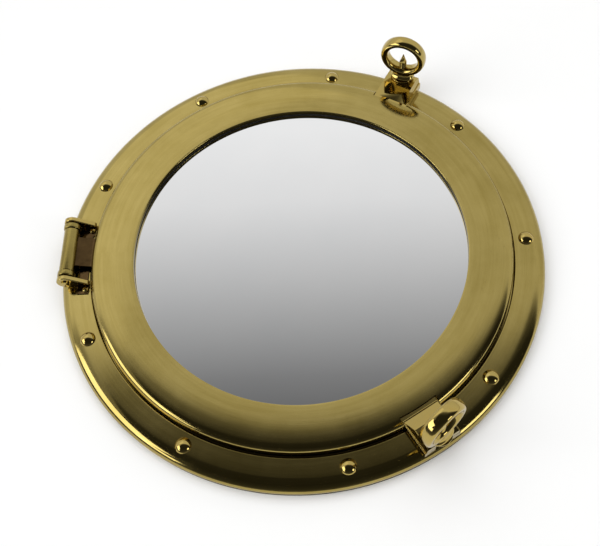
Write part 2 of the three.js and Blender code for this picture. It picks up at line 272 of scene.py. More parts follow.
class Nodes:
    """Short calls for building a material's node tree."""

    def __init__(self, name):
        self.material = bpy.data.materials.new(name)
        self.material.use_nodes = True
        self.tree = self.material.node_tree
        self.shader = self.tree.nodes["Principled BSDF"]

    def add(self, kind, inputs=None, **settings):
        node = self.tree.nodes.new(kind)
        for key, value in settings.items():
            setattr(node, key, value)
        for key, value in (inputs or {}).items():
            if isinstance(value, bpy.types.NodeSocket):
                self.tree.links.new(value, node.inputs[key])
            else:
                node.inputs[key].default_value = value
        return node

    def math(self, operation, a, b=0.0):
        return self.add("ShaderNodeMath", {0: a, 1: b}, operation=operation).outputs[0]

    def span(self, value, low, high, to_low, to_high):
        inputs = {"Value": value, "From Min": low, "From Max": high, "To Min": to_low, "To Max": to_high}
        return self.add("ShaderNodeMapRange", inputs).outputs[0]

    def noise(self, vector, scale, detail=4.0, rough=0.55):
        inputs = {"Vector": vector, "Scale": scale, "Detail": detail, "Roughness": rough}
        return self.add("ShaderNodeTexNoise", inputs).outputs["Fac"]

    def mix(self, factor, a, b):
        inputs = {0: factor, 6: a, 7: b}
        return self.add("ShaderNodeMix", inputs, data_type="RGBA", blend_type="MIX").outputs[2]

    def place(self):
        return self.add("ShaderNodeTexCoord").outputs["Object"]

    def stretched(self, vector, scale):
        return self.add("ShaderNodeMapping", {"Vector": vector, "Scale": scale}).outputs[0]

    def polar(self, vector):
        """(radius, angle, height) about the object's Z axis."""
        parts = self.add("ShaderNodeSeparateXYZ", {0: vector}).outputs
        squares = [self.math("MULTIPLY", part, part) for part in (parts[0], parts[1])]
        radius = self.math("SQRT", self.math("ADD", *squares))
        angle = self.math("ARCTAN2", parts[1], parts[0])
        return self.add("ShaderNodeCombineXYZ", {0: radius, 1: angle, 2: parts[2]}).outputs[0]

    def link(self, socket, name):
        self.tree.links.new(socket, self.shader.inputs[name])

    def relief(self, height, strength, distance):
        """Small bumps on the surface, as high as distance in metres."""
        inputs = {"Strength": strength, "Distance": distance, "Height": height}
        self.link(self.add("ShaderNodeBump", inputs).outputs[0], "Normal")


BRASS_LIGHT = (0.415, 0.325, 0.108, 1)
BRASS_DEEP = (0.31, 0.235, 0.064, 1)
BRASS_WARM = (0.46, 0.335, 0.095, 1)
# Dark browns for the hinge strap and foot: painted shade, standing for the shade between the barrel, the ears
# and the door
BRASS_PAINTED_SHADE = (0.13, 0.08, 0.03, 1)
BRASS_PAINTED_SHADE_DEEP = (0.025, 0.014, 0.007, 1)
BARREL_LIGHT = (0.37, 0.29, 0.085, 1)
BARREL_DEEP = (0.22, 0.165, 0.045, 1)
TARNISH = (0.10, 0.055, 0.02, 1)


def brass(name, grain, roughness, light, deep, bump=0.02, tarnish=0.35):
    """Polished brass: two tones in clouds and streaks, polishing lines, bright worn edges, brown corners.

    grain is "ring" for lines round the Z axis, or a stretch (x, y, z) for straight ones.
    """
    n = Nodes(name)
    place = n.place()
    if grain == "ring":
        around = n.polar(place)
        lines_place = n.stretched(around, (2600.0, 1.6, 2600.0))
        bands_place = n.stretched(around, (340.0, 2.4, 340.0))
    else:
        lines_place = n.stretched(place, grain)
        bands_place = n.stretched(place, [0.2 * v for v in grain])
    lines = n.noise(lines_place, 1.0, 5.0, 0.6)
    bands = n.noise(bands_place, 1.0, 4.0, 0.6)
    clouds = n.noise(place, 26.0, 5.0, 0.6)
    specks = n.noise(place, 900.0, 2.0, 0.5)
    streaks = n.math("ADD", n.math("MULTIPLY", bands, 0.35), n.math("MULTIPLY", lines, 0.2))
    tone = n.math("ADD", n.math("MULTIPLY", clouds, 0.45), streaks)
    colour = n.mix(n.span(tone, 0.36, 0.64, 0.0, 1.0), deep, light)
    edge = n.add("ShaderNodeNewGeometry").outputs["Pointiness"]
    in_corner = n.span(edge, 0.485, 0.44, 0.0, tarnish)
    colour = n.mix(in_corner, colour, TARNISH)
    pits = n.span(specks, 0.70, 0.78, 0.0, 0.45)
    colour = n.mix(pits, colour, TARNISH)
    n.link(colour, "Base Color")
    worn = n.span(edge, 0.53, 0.60, 0.0, 0.03)
    rough = n.span(lines, 0.25, 0.75, roughness * 0.75, roughness * 1.3)
    rough = n.math("ADD", rough, n.span(clouds, 0.35, 0.7, 0.0, roughness * 0.5))
    rough = n.math("SUBTRACT", n.math("ADD", rough, n.math("MULTIPLY", pits, 0.3)), worn)
    n.link(n.math("MAXIMUM", rough, 0.02), "Roughness")
    n.shader.inputs["Metallic"].default_value = 1.0
    grit = n.noise(place, 420.0, 2.0)
    height = n.math("ADD", n.math("MULTIPLY", lines, 0.5), n.math("MULTIPLY", grit, 0.5))
    n.relief(height, bump, 0.0004)
    return n.material


SILVER_COOL = (0.90, 0.905, 0.91, 1)
SILVER_WARM = (0.93, 0.93, 0.93, 1)
DUST = (0.55, 0.55, 0.55, 1)
RUBBER_DARK = (0.012, 0.012, 0.012, 1)
RUBBER_WORN = (0.03, 0.029, 0.027, 1)
FIBRE_DARK = (0.035, 0.022, 0.013, 1)
FIBRE_LIGHT = (0.12, 0.075, 0.042, 1)
FIBRE_STAIN = (0.055, 0.035, 0.021, 1)


def mirror_glass():
    """Silvered glass with a faint haze, a little dust and a long ripple."""
    n = Nodes("mirror")
    place = n.place()
    haze = n.noise(place, 14.0, 4.0, 0.55)
    dust = n.noise(place, 1500.0, 2.0, 0.5)
    colour = n.mix(n.span(haze, 0.3, 0.7, 0.0, 1.0), SILVER_COOL, SILVER_WARM)
    colour = n.mix(n.span(dust, 0.78, 0.84, 0.0, 0.25), colour, DUST)
    n.link(colour, "Base Color")
    n.link(n.span(haze, 0.3, 0.7, 0.004, 0.02), "Roughness")
    n.shader.inputs["Metallic"].default_value = 1.0
    n.shader.inputs["Coat Weight"].default_value = 0.4
    n.shader.inputs["Coat Roughness"].default_value = 0.01
    ripple = n.noise(place, 9.0, 1.0)
    n.relief(ripple, 0.02, 0.0002)
    return n.material


def rubber():
    """Matt black rubber, paler where it has been handled."""
    n = Nodes("black_rubber")
    place = n.place()
    fine = n.noise(place, 700.0, 3.0)
    broad = n.noise(place, 40.0, 3.0)
    n.link(n.mix(n.span(broad, 0.35, 0.65, 0.0, 1.0), RUBBER_DARK, RUBBER_WORN), "Base Color")
    n.link(n.span(fine, 0.3, 0.7, 0.62, 0.85), "Roughness")
    n.relief(fine, 0.25, 0.0003)
    return n.material


def hardboard():
    """Dark pressed board with fibres lying every way."""
    n = Nodes("hardboard")
    place = n.place()
    fibres = n.noise(n.stretched(place, (420.0, 60.0, 60.0)), 1.0, 4.0)
    across = n.noise(n.stretched(place, (70.0, 380.0, 60.0)), 1.0, 4.0)
    mass = n.noise(place, 30.0, 5.0)
    weave = n.math("ADD", n.math("MULTIPLY", fibres, 0.5), n.math("MULTIPLY", across, 0.5))
    colour = n.mix(n.span(weave, 0.38, 0.62, 0.0, 1.0), FIBRE_DARK, FIBRE_LIGHT)
    colour = n.mix(n.span(mass, 0.4, 0.65, 0.0, 0.5), colour, FIBRE_STAIN)
    n.link(colour, "Base Color")
    n.link(n.span(weave, 0.3, 0.7, 0.6, 0.85), "Roughness")
    n.relief(weave, 0.3, 0.0004)
    return n.material


RING_BRASS = brass("ring_brass", "ring", 0.085, BRASS_LIGHT, BRASS_DEEP, bump=0.015, tarnish=0.2)
DOME_BRASS = brass("dome_brass", (300, 300, 300), 0.05, BRASS_LIGHT, BRASS_WARM)
CAST_BRASS = brass("small_cast_brass", (500, 500, 120), 0.06, BRASS_LIGHT, BRASS_WARM, bump=0.04, tarnish=0.6)
BARREL_BRASS = brass("barrel_brass", (1500, 20, 1500), 0.2, BARREL_LIGHT, BARREL_DEEP, bump=0.12, tarnish=0.4)
# Brass darkened with painted shade, for the hinge strap and foot, which lie in shade between the barrel, the
# ears and the door
PAINTED_SHADE_BRASS = brass("shade_painted_brass", (90, 90, 90), 0.12, BRASS_PAINTED_SHADE, BRASS_PAINTED_SHADE_DEEP, bump=0.5, tarnish=0.9)
BACK_BRASS = brass("turned_back_brass", "ring", 0.22, BRASS_LIGHT, BRASS_DEEP, bump=0.08, tarnish=0.6)
MIRROR = mirror_glass()
RUBBER = rubber()
BOARD = hardboard()


# ---------------------------------------------------------------- camera, light and floor

CAMERA_AT = (0.03583, -0.32819, 0.58433)
CAMERA_RIGHT = (0.99802, -0.02094, -0.05930)
CAMERA_UP = (0.04713, 0.87327, 0.48496)
CAMERA_BACK = (0.04163, -0.48679, 0.87253)
CAMERA_LENS = 50.22
CAMERA_SHIFT = (-0.0186, -0.0257)

# How far off the lights stand, in metres
NEAR, FAR = 1.6, 20.0


def add_camera():
    data = bpy.data.cameras.new("camera")
    camera = new_object("camera", data)
    data.lens = CAMERA_LENS
    data.sensor_width = 36.0
    data.shift_x, data.shift_y = CAMERA_SHIFT
    data.clip_start = 0.01
    data.clip_end = 50.0
    turn = Matrix((CAMERA_RIGHT, CAMERA_UP, CAMERA_BACK)).transposed().to_4x4()
    camera.matrix_world = Matrix.Translation(CAMERA_AT) @ turn
    bpy.context.scene.camera = camera


def direction(azimuth, elevation):
    a, e = math.radians(azimuth), math.radians(elevation)
    return Vector((math.cos(a) * math.cos(e), math.sin(a) * math.cos(e), math.sin(e)))


def soft_box(name, azimuth, elevation, wide, high, strength, distance=FAR, glossy=True):
    """A rectangular light facing the object's middle; wide and high are in degrees seen from there."""
    data = bpy.data.lights.new(name, "AREA")
    data.shape = "RECTANGLE"
    data.size = 2 * distance * math.tan(math.radians(wide / 2))
    data.size_y = 2 * distance * math.tan(math.radians(high / 2))
    data.energy = strength * math.pi * data.size * data.size_y
    lamp = new_object(name, data)
    towards = direction(azimuth, elevation)
    lamp.location = towards * distance
    lamp.rotation_euler = towards.to_track_quat("Z", "Y").to_euler()
    lamp.visible_glossy = glossy
    return lamp


# Brightness of the light tent by the angle about X: 0 is the +Y horizon, 90 the top, 180 the -Y horizon
TENT = [(0, 0.80), (30, 0.90), (52, 0.88), (57, 0.76), (60, 0.62), (64, 0.43), (69, 0.21), (74, 0.07),
        (80, 0.035), (120, 0.03), (150, 0.05), (172, 0.12), (180, 0.3)]

# Strips of light at the tent's upper edge, for the brass alone: from, to (degrees of elevation), level
BRASS_STRIPS = [(54, 58, 0.12), (58, 62, 0.28), (62, 64, 0.42), (64, 65.5, 0.50), (65.5, 66.5, 0.44),
                (66.5, 67.5, 0.30), (67.5, 69, 0.14), (69, 72, 0.04), (72, 80, 0.02)]

# Nested panels that brighten the brass on the hinge's side: width in degrees, level
BRASS_GLOWS = [(56, 0.32), (48, 0.32), (40, 0.25)]
BRASS_PIECES = bpy.data.collections.new("brass_pieces")


def add_tent():
    """A world that is a lit tent in reflections and plain pale grey where the camera sees it."""
    world = bpy.data.worlds.new("light_tent")
    bpy.context.scene.world = world
    world.use_nodes = True
    tree = world.node_tree
    nodes, links = tree.nodes, tree.links
    background = nodes["Background"]
    place = nodes.new("ShaderNodeTexCoord")
    parts = nodes.new("ShaderNodeSeparateXYZ")
    links.new(place.outputs["Generated"], parts.inputs[0])
    angle = nodes.new("ShaderNodeMath")
    angle.operation = "ARCTAN2"
    links.new(parts.outputs[2], angle.inputs[0])
    links.new(parts.outputs[1], angle.inputs[1])
    share = nodes.new("ShaderNodeMath")
    share.operation = "DIVIDE"
    share.inputs[1].default_value = math.pi
    links.new(angle.outputs[0], share.inputs[0])
    ramp = nodes.new("ShaderNodeValToRGB")
    stops = ramp.color_ramp.elements
    while len(stops) < len(TENT):
        stops.new(0.5)
    for stop, (at, level) in zip(stops, TENT):
        stop.position = at / 180
        stop.color = (level, level, level, 1)
    links.new(share.outputs[0], ramp.inputs[0])
    seen = nodes.new("ShaderNodeLightPath")
    pick = nodes.new("ShaderNodeMix")
    pick.data_type = "RGBA"
    links.new(seen.outputs["Is Camera Ray"], pick.inputs[0])
    links.new(ramp.outputs[0], pick.inputs[6])
    pick.inputs[7].default_value = (0.93, 0.93, 0.93, 1)
    links.new(pick.outputs[2], background.inputs["Color"])


def add_floor():
    half, level = 4000.0, -0.2
    verts = [(-half, -half, level), (half, -half, level), (half, half, level), (-half, half, level)]
    floor = new_object("floor", mesh_of("floor", verts, [[0, 1, 2, 3]]))
    n = Nodes("pale_floor")
    n.shader.inputs["Base Color"].default_value = (0.92, 0.92, 0.915, 1)
    n.shader.inputs["Roughness"].default_value = 0.9
    n.shader.inputs["Specular IOR Level"].default_value = 0.1
    floor.data.materials.append(n.material)


def add_lights():
    soft_box("left_box", 191, 32, 34, 30, 3.2)
    soft_box("left_box_end", 215, 24, 14, 12, 3.2)
    soft_box("right_box", -29, 26, 18, 18, 3.2)
    soft_box("overhead_fill", 0, 90, 90, 90, 1.1, NEAR, glossy=False)
    for number, (low, high, level) in enumerate(BRASS_STRIPS):
        strip = soft_box(f"back_strip_{number}", 90, (low + high) / 2, 150, high - low, level)
        strip.light_linking.receiver_collection = BRASS_PIECES
    for number, (wide, level) in enumerate(BRASS_GLOWS):
        glow = soft_box(f"left_glow_{number}", 137, 49.5, wide, wide * 0.48, level)
        glow.light_linking.receiver_collection = BRASS_PIECES


add_camera()
add_tent()
add_floor()
add_lights()
bpy.context.scene.view_settings.view_transform = "Standard"


# ---------------------------------------------------------------- flange

RIVET_ANGLES = []
for i in range(1, 10):
    low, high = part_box(f"flange_rivet_{i}")
    middle = (low + high) / 2
    RIVET_ANGLES.append(math.degrees(math.atan2(middle.y, middle.x)))


def flange_profile():
    """A flat back, a shoulder that is a quarter of an ellipse, and a face that dips a little to the door."""
    shoulder_wide, shoulder_high, steps, dip = 10.0, FACE_Z - SEAT_Z, 14, FACE_Z - 0.08
    profile = round_corners([(CLEAR_R, 0, 0.5), (FLANGE_R - 0.9, 0, 0.5), (FLANGE_R, 1.0, 0.5)])
    for i in range(steps + 1):
        t = math.radians(90 - 90 * i / steps)
        r = FLANGE_R - shoulder_wide + shoulder_wide * math.sin(t)
        profile.append((r, SEAT_Z + shoulder_high * math.cos(t)))
    profile += [(177.0, FACE_Z), (172.0, FACE_Z - 0.03), (REBATE_R + 1.5, dip)]
    profile += round_corners([(REBATE_R + 1.1, dip, 0), (REBATE_R, dip, 0.8), (REBATE_R, SEAT_Z, 0.3),
                              (CLEAR_R, SEAT_Z, 0.5), (CLEAR_R, 0.6, 0)])
    return profile


def rivet_place(angle):
    a = math.radians(angle)
    return Matrix.Translation((RIVET_CIRCLE_R * math.cos(a), RIVET_CIRCLE_R * math.sin(a), 0))


def add_flange():
    flange = new_object("flange", mesh_of("flange", *turned(flange_profile(), RING_STEPS)))
    drill = turned([(0, -1), (RIVET_HOLE_R, -1), (RIVET_HOLE_R, FACE_Z + 1), (0, FACE_Z + 1)], 20, False)
    cut(flange, [new_object("hole", mesh_of("hole", *drill, rivet_place(angle))) for angle in RIVET_ANGLES])
    piece(flange, RING_BRASS, "frame", ["mounting_flange"], "cast_brass")


def domed_profile(radius, height, seat, shank, tip, lip=0.25):
    """A domed head with a slightly rolled rim, on a shank that ends rounded."""
    bend = (radius * radius + height * height) / (2 * height)
    start = math.asin(min(1.0, radius / bend))
    profile = [(0, tip), (shank * 0.6, tip), (shank * 0.92, tip + 0.2), (shank, tip + 0.6), (shank, seat)]
    profile += [(radius - lip, seat), (radius - lip * 0.3, seat + lip * 0.2), (radius, seat + lip * 0.8)]
    steps = 14
    for i in range(1, steps + 1):
        a = start * (1 - i / steps)
        narrowed = 0.99 if i == 1 else 1.0
        rise = (bend * math.cos(a) - bend + height) / height
        profile.append((bend * math.sin(a) * narrowed, seat + lip + (height - lip) * rise))
    return profile


def add_rivets():
    profile = domed_profile(radius=5.9, height=3.3, seat=FACE_Z + 0.02, shank=2.1, tip=0.5)
    for i, angle in enumerate(RIVET_ANGLES, 1):
        name = f"rivet_head_{i}"
        obj = new_object(name, mesh_of(name, *turned(profile, 48, False), rivet_place(angle)))
        piece(obj, DOME_BRASS, "frame", [f"flange_rivet_{i}"], "polished_brass")


# ---------------------------------------------------------------- door

def sector(r0, r1, half, angle, low, high):
    """A prism with a round inner side of radius r0 and straight sides, centred on an angle."""
    side = math.degrees(math.asin(half / r0))
    outline = arc(0, 0, r0, side, -side, 12) + [(r1, -half), (r1, half)]
    return mesh_of("cutter", *prism(outline, low, high), Matrix.Rotation(math.radians(angle), 4, "Z"))


# Tilt of the door ring's face towards the bore, in degrees, by radius
DOOR_TILT = [(BORE_R, 3.2), (142.0, 2.9), (150.0, 1.8), (153.5, 0.4), (157.0, -0.8), (161.0, -3.5)]


def crown(r):
    """Height of the door ring's face, summed from its tilt outwards from the crest."""
    crest_r, steps = 153.5, 24
    height = DOOR_HI.z - 0.05
    for i in range(steps):
        middle = crest_r + (r - crest_r) * (i + 0.5) / steps
        for (r0, t0), (r1, t1) in zip(DOOR_TILT, DOOR_TILT[1:]):
            if r0 <= middle <= r1:
                tilt = t0 + (t1 - t0) * (middle - r0) / (r1 - r0)
                height += math.tan(math.radians(tilt)) * (r - crest_r) / steps
                break
    return height


def door_profile():
    """A rebate behind for the glass, a round outer shoulder, a crowned face and an eased lip at the bore."""
    low, step_r, step_z = DOOR_LO.z, DOOR_R - 13, DOOR_LO.z + 1.8
    glass_side, rebate_top, wall_top = GLASS_R + 0.4, GLASS_HI.z + 1.2, 13.6
    shoulder_r, lip_r = 159.6, 132.4
    profile = round_corners([(glass_side, rebate_top, 0), (glass_side, step_z, 0.2), (step_r, step_z, 0.2),
                             (step_r, low, 0.5), (DOOR_R, low, 0.6), (DOOR_R, wall_top, 0)])
    start, end = Vector((DOOR_R, wall_top)), Vector((shoulder_r, crown(shoulder_r)))
    corner = Vector((DOOR_R, crown(shoulder_r) - 0.3))
    for i in range(1, 11):
        t = i / 10
        point = start * (1 - t) ** 2 + corner * 2 * t * (1 - t) + end * t ** 2
        profile.append((point.x, point.y))
    face_steps = 14
    for i in range(1, face_steps):
        r = shoulder_r - (shoulder_r - lip_r) * i / face_steps
        profile.append((r, crown(r)))
    profile += round_corners([(lip_r, crown(lip_r), 0), (BORE_R, crown(lip_r) - 0.1, 0.9),
                              (BORE_R, rebate_top, 0.15), (BORE_R + 4, rebate_top, 0)])
    return profile


def strap_slot():
    """The opening in the door's edge that takes the hinge strap."""
    lo, hi = (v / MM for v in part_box("hinge_strap"))
    x0, x1, y0, y1 = -DOOR_R - 3, hi.x + GAP, lo.y - GAP, hi.y + GAP
    return mesh_of("cutter", *prism([(x0, y0), (x1, y0), (x1, y1), (x0, y1)], FACE_Z + 1.2, FACE_Z + 4.9))


def add_door():
    ring = new_object("door_casting", mesh_of("door_casting", *turned(door_profile(), RING_STEPS)))
    cutters = []
    for angle in DOG_ANGLES:
        pocket = sector(LUG_IN_R - GAP, DOOR_R + 3, LUG_HALF + GAP, angle, FACE_Z + 0.1, DOOR_HI.z + 2)
        cutters.append(new_object("cutter", pocket))
    cutters.append(new_object("cutter", strap_slot()))
    cut(ring, cutters)
    piece(ring, RING_BRASS, "door", ["door_ring"], "cast_brass", 30)


def add_glass():
    glass = round_corners([(GLASS_R, GLASS_LO.z, 0.3), (GLASS_R, GLASS_HI.z, 0.5)])
    flat = (0.6, 0.9, 1.3)
    profile = [(0, GLASS_LO.z)] + [(GLASS_R - f, GLASS_LO.z) for f in flat[::-1]] + glass
    profile += [(GLASS_R - f, GLASS_HI.z) for f in flat] + [(0, GLASS_HI.z)]
    obj = new_object("mirror_plate", mesh_of("mirror_plate", *turned(profile, RING_STEPS, False)))
    piece(obj, MIRROR, "door", ["mirror_glass"], "mirror")


def square_ring(name, node, body, material, slot, corner, inner):
    """A flat ring of rectangular section with eased corners, sized by its CAD node."""
    lo, hi = (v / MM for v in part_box(node))
    corners = [(inner, lo.z), (hi.x, lo.z), (hi.x, hi.z), (inner, hi.z)]
    profile = round_corners([(r, z, corner) for r, z in corners], 3)
    obj = new_object(name, mesh_of(name, *turned(profile, 192)))
    piece(obj, material, body, [node], slot)


def add_back():
    square_ring("door_seal", "door_gasket", "frame", RUBBER, "rubber", 0.5, SEAL_IN_R)
    square_ring("glass_seal", "glazing_gasket", "door", RUBBER, "rubber", 0.3, BORE_R + 0.1)
    square_ring("glass_retainer", "retaining_ring", "door", BACK_BRASS, "cast_brass", 0.4, RETAINER_IN_R)
    lo, hi = (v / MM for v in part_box("backing_board"))
    profile = round_corners([(0, lo.z, 0), (GLASS_R, lo.z, 0.4), (GLASS_R, hi.z, 0.4), (0, hi.z, 0)])
    board = new_object("back_board", mesh_of("back_board", *turned(profile, 128, False)))
    piece(board, BOARD, "door", ["backing_board"], "board")
    for i in range(1, 7):
        screw(f"retainer_screw_head_{i}", f"retainer_screw_{i}", "door", 2.6, 1.1, True)


def screw(name, node, body, radius, height, upside_down=False):
    """A domed screw head with a driver slot, where its CAD node is."""
    slot_half, slot_depth = 0.35, 0.55 * height
    lo, hi = (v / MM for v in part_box(node))
    middle = (lo + hi) / 2
    length = hi.z - lo.z - height
    profile = domed_profile(radius, height, length, radius * 0.5, 0, 0.15)
    place = Matrix.Translation((middle.x, middle.y, lo.z))
    if upside_down:
        place = Matrix.Translation((middle.x, middle.y, hi.z)) @ Matrix.Rotation(math.pi, 4, "X")
    obj = new_object(name, mesh_of(name, *turned(profile, 40, False), place))
    end = radius + 1
    groove = prism([(-end, -slot_half), (end, -slot_half), (end, slot_half), (-end, slot_half)],
                   length + height - slot_depth, length + height + 1)
    # The slots lie at various angles, as driven screws do
    slot_angle = 37 * len(name) + 61 * middle.y % 180
    turn = Matrix.Rotation(math.radians(slot_angle), 4, "Z")
    cut(obj, [new_object("groove", mesh_of("groove", *groove, place @ turn))])
    piece(obj, DOME_BRASS, body, [node], "polished_brass")


# ---------------------------------------------------------------- hinge

HINGE_X, HINGE_Z, HINGE_Y, HINGE_HALF = -183.0, FACE_Z + 7.3, 3.4, 28.4
EAR_THICK, EAR_R, FOOT_X = 3.8, 6.8, -165.4
PIN_R, BARREL_R, BARREL_HALF = 2.5, 6.0, 18.8
STRAP_HALF, STRAP_END_X = 13.0, -157.0
STAND = Matrix.Rotation(math.radians(90), 4, "X")


def ear(name, y0, y1, nodes):
    """A cast ear: round about the pin, tapering down to a small round toe beside the door."""
    toe, low = 2.4, FACE_Z + 0.05
    outline = arc(FOOT_X - toe, FACE_Z + toe, toe, -88, 66, 8) + arc(HINGE_X, HINGE_Z, EAR_R, 66, 258, 28)
    outline = [(x, max(z, low)) for x, z in outline]
    obj = new_object(name, mesh_of(name, *prism(outline, -y1, -y0), STAND))
    bevel(obj, 0.7, 4)
    piece(obj, CAST_BRASS, "frame", nodes, "polished_brass", flats=True)


def on_pin(name, profile, material, body, nodes, steps=64):
    """A piece turned about the hinge's axis; it is open-ended unless its profile starts on the axis."""
    ring = profile[0][0] > 0.01
    mesh = mesh_of(name, *turned(profile, steps, ring), along_y(HINGE_X, HINGE_Y, HINGE_Z))
    piece(new_object(name, mesh), material, body, nodes, "polished_brass")


def hinge_bracket():
    inner = HINGE_HALF - EAR_THICK
    ear("hinge_ear_upper", HINGE_Y + inner, HINGE_Y + HINGE_HALF, ["hinge_bracket"])
    ear("hinge_ear_lower", HINGE_Y - HINGE_HALF, HINGE_Y - inner, [])
    back_x, waist_x, front_x = -175.5, -167.5, -166.2
    low_y, high_y, waist_half = -31.6, HINGE_Y + HINGE_HALF, 20
    outline = [(back_x, low_y), (front_x, low_y), (front_x, -waist_half), (waist_x, -waist_half),
               (waist_x, waist_half), (front_x, waist_half), (front_x, high_y), (back_x, high_y)]
    foot = new_object("hinge_foot", mesh_of("hinge_foot", *prism(outline, FACE_Z + 0.05, FACE_Z + 0.85)))
    bevel(foot, 0.3, 3)
    # The foot gets the brass darkened with painted shade, for the shade round the feet of the ears
    piece(foot, PAINTED_SHADE_BRASS, "frame", [], "polished_brass", flats=True)


def hinge_pin():
    """The pin, with a round head at one end and a peened end at the other, and its two collars."""
    end, grip = HINGE_HALF + 1.6, HINGE_HALF + 0.1
    shaft = [(0, -end + 0.2), (2.6, -end + 0.2), (3.2, -end + 0.6), (3.2, -grip), (PIN_R, -grip),
             (PIN_R, grip), (3.6, grip), (3.6, end - 0.5), (3.3, end - 0.15), (2.6, end), (0, end)]
    on_pin("hinge_pin_body", shaft, DOME_BRASS, "frame", ["hinge_pin"])
    for k, node in enumerate(("hinge_collar_1", "hinge_collar_2"), 1):
        lo, hi = (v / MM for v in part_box(node))
        low, high, r = lo.y - HINGE_Y, hi.y - HINGE_Y, hi.z - HINGE_Z
        bore = PIN_R + 0.05
        profile = round_corners([(bore, low, 0.2), (r, low, 0.8), (r, high, 0.8), (bore, high, 0.2)])
        on_pin(f"hinge_washer_{k}", profile, BARREL_BRASS, frame["nodes"][node]["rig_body"], [node])


def hinge_barrel():
    bore = PIN_R + 0.1
    profile = round_corners([(bore, -BARREL_HALF, 0.2), (BARREL_R, -BARREL_HALF, 0.5),
                             (BARREL_R, BARREL_HALF, 0.5), (bore, BARREL_HALF, 0.2)])
    on_pin("hinge_barrel", profile, BARREL_BRASS, "door", ["hinge_strap"], 72)


def hinge_strap():
    """The cranked plate that runs from under the barrel into the door's edge."""
    low, high = FACE_Z + 1.5, FACE_Z + 4.6
    outline = round_corners([(HINGE_X + 1, HINGE_Z - 4.6, 0), (HINGE_X + 9, HINGE_Z - 4.4, 2),
                             (HINGE_X + 15, low, 2), (STRAP_END_X, low, 0.3), (STRAP_END_X, high, 0.3),
                             (HINGE_X + 17, high, 2.5), (HINGE_X + 10, HINGE_Z - 1, 3),
                             (HINGE_X + 1, HINGE_Z + 2.2, 0)])
    plate = prism(outline, -HINGE_Y - STRAP_HALF, -HINGE_Y + STRAP_HALF)
    strap = new_object("hinge_strap_plate", mesh_of("hinge_strap_plate", *plate, STAND))
    bevel(strap, 0.5, 3)
    # The strap gets the brass darkened with painted shade, for the shade between the barrel and the door
    piece(strap, PAINTED_SHADE_BRASS, "door", [], "polished_brass", flats=True)


def add_hinge():
    hinge_bracket()
    hinge_pin()
    hinge_barrel()
    hinge_strap()
    screw("hinge_screw_head_1", "hinge_screw_1", "frame", 2.5, 1.9)
    screw("hinge_screw_head_2", "hinge_screw_2", "frame", 2.5, 1.9)
    screw("strap_screw_head_1", "strap_screw_1", "door", 2.0, 0.6, True)
    screw("strap_screw_head_2", "strap_screw_2", "door", 2.0, 0.6, True)


# ---------------------------------------------------------------- dogs

def lug_block():
    """Vertices and faces of the raised block: (x, z) is its side view, and it narrows as it rises."""
    seat, foot, sunk = LUG_TOP_Z - PIVOT_Z, LUG_HALF - 0.6, LUG_STEP_Z - 2
    last = math.degrees(math.acos((LUG_END_R - DOG_R) / seat))
    outline = [(LUG_STEP_R, sunk), (LUG_END_R, sunk)] + arc(DOG_R, PIVOT_Z, seat, last, 90, 10)
    outline += [(LUG_CREST_R, LUG_TOP_Z), (LUG_STEP_R, LUG_STEP_Z)]
    verts, faces = prism(outline, -1, 1)
    narrowing = (foot - LUG_CREST_HALF) / (LUG_TOP_Z - LUG_STEP_Z)
    verts = [(x, z, y * (foot - narrowing * max(0.0, z - LUG_STEP_Z))) for x, z, y in verts]
    return verts, faces


def dog_lug(k):
    """A tongue that ramps up to a tapering flat-topped block, with an open-ended slot for the bolt."""
    low, tail_r = FACE_Z + 0.45, LUG_IN_R - 3.5
    turn = Matrix.Rotation(math.radians(DOG_ANGLES[k]), 4, "Z")
    name = f"dog_lug_{k + 1}"
    tongue = [(tail_r, low), (LUG_END_R, low), (LUG_END_R, LUG_STEP_Z), (tail_r, LUG_STEP_Z)]
    lug = new_object(name, mesh_of(name, *prism(tongue, -LUG_HALF, LUG_HALF), turn @ STAND))
    cut(lug, [new_object("top", mesh_of("top", *lug_block(), turn @ STAND))], "UNION")
    slot_in, slot_out = DOG_R - 3.8, DOG_R + 8
    slot = [(slot_in, -SLOT_HALF), (slot_out, -SLOT_HALF), (slot_out, SLOT_HALF), (slot_in, SLOT_HALF)]
    mouth = new_object("mouth", mesh_of("mouth", *prism(slot, FACE_Z - 1, LUG_TOP_Z + 1), turn))
    bottom, top = FACE_Z - 2, LUG_TOP_Z + 2
    inner = turned([(0, bottom), (LUG_IN_R, bottom), (LUG_IN_R, top), (0, top)], 360, False)
    cut(lug, [mouth, new_object("inner", mesh_of("inner", *inner))])
    bevel(lug, 0.5, 3, 20)
    piece(lug, CAST_BRASS, "door", [f"door_lug_{k + 1}"], "polished_brass", flats=True)


def across_pivot(k):
    """Carries something turned about Z onto dog k's pivot pin."""
    return dog_place(k) @ along_y(0, 0, PIVOT_Z)


def dog_clevis(k):
    """Two cheeks standing in the lug's slot, and the pivot pin through them."""
    cheek_r, inside, outside, low = 3.1, 3.0, 5.7, FACE_Z + 0.05
    for side in (-1, 1):
        outline = [(-cheek_r, low), (cheek_r, low)] + arc(0, PIVOT_Z, cheek_r, 0, 180, 18)
        y0, y1 = sorted((side * inside, side * outside))
        name = f"dog_cheek_{k + 1}_{'a' if side < 0 else 'b'}"
        obj = new_object(name, mesh_of(name, *prism(outline, -y1, -y0), dog_place(k) @ STAND))
        bevel(obj, 0.35, 3)
        nodes = [f"dog_clevis_{k + 1}"] if side < 0 else []
        piece(obj, CAST_BRASS, "frame", nodes, "polished_brass")
    end, eased = outside + 0.2, PIVOT_PIN_R - 0.3
    pin = [(0, -end), (eased, -end), (PIVOT_PIN_R, -end + 0.3), (PIVOT_PIN_R, end - 0.3),
           (eased, end), (0, end)]
    name = f"dog_pin_{k + 1}"
    obj = new_object(name, mesh_of(name, *turned(pin, 32, False), across_pivot(k)))
    piece(obj, DOME_BRASS, "frame", [f"dog_pivot_pin_{k + 1}"], "polished_brass")


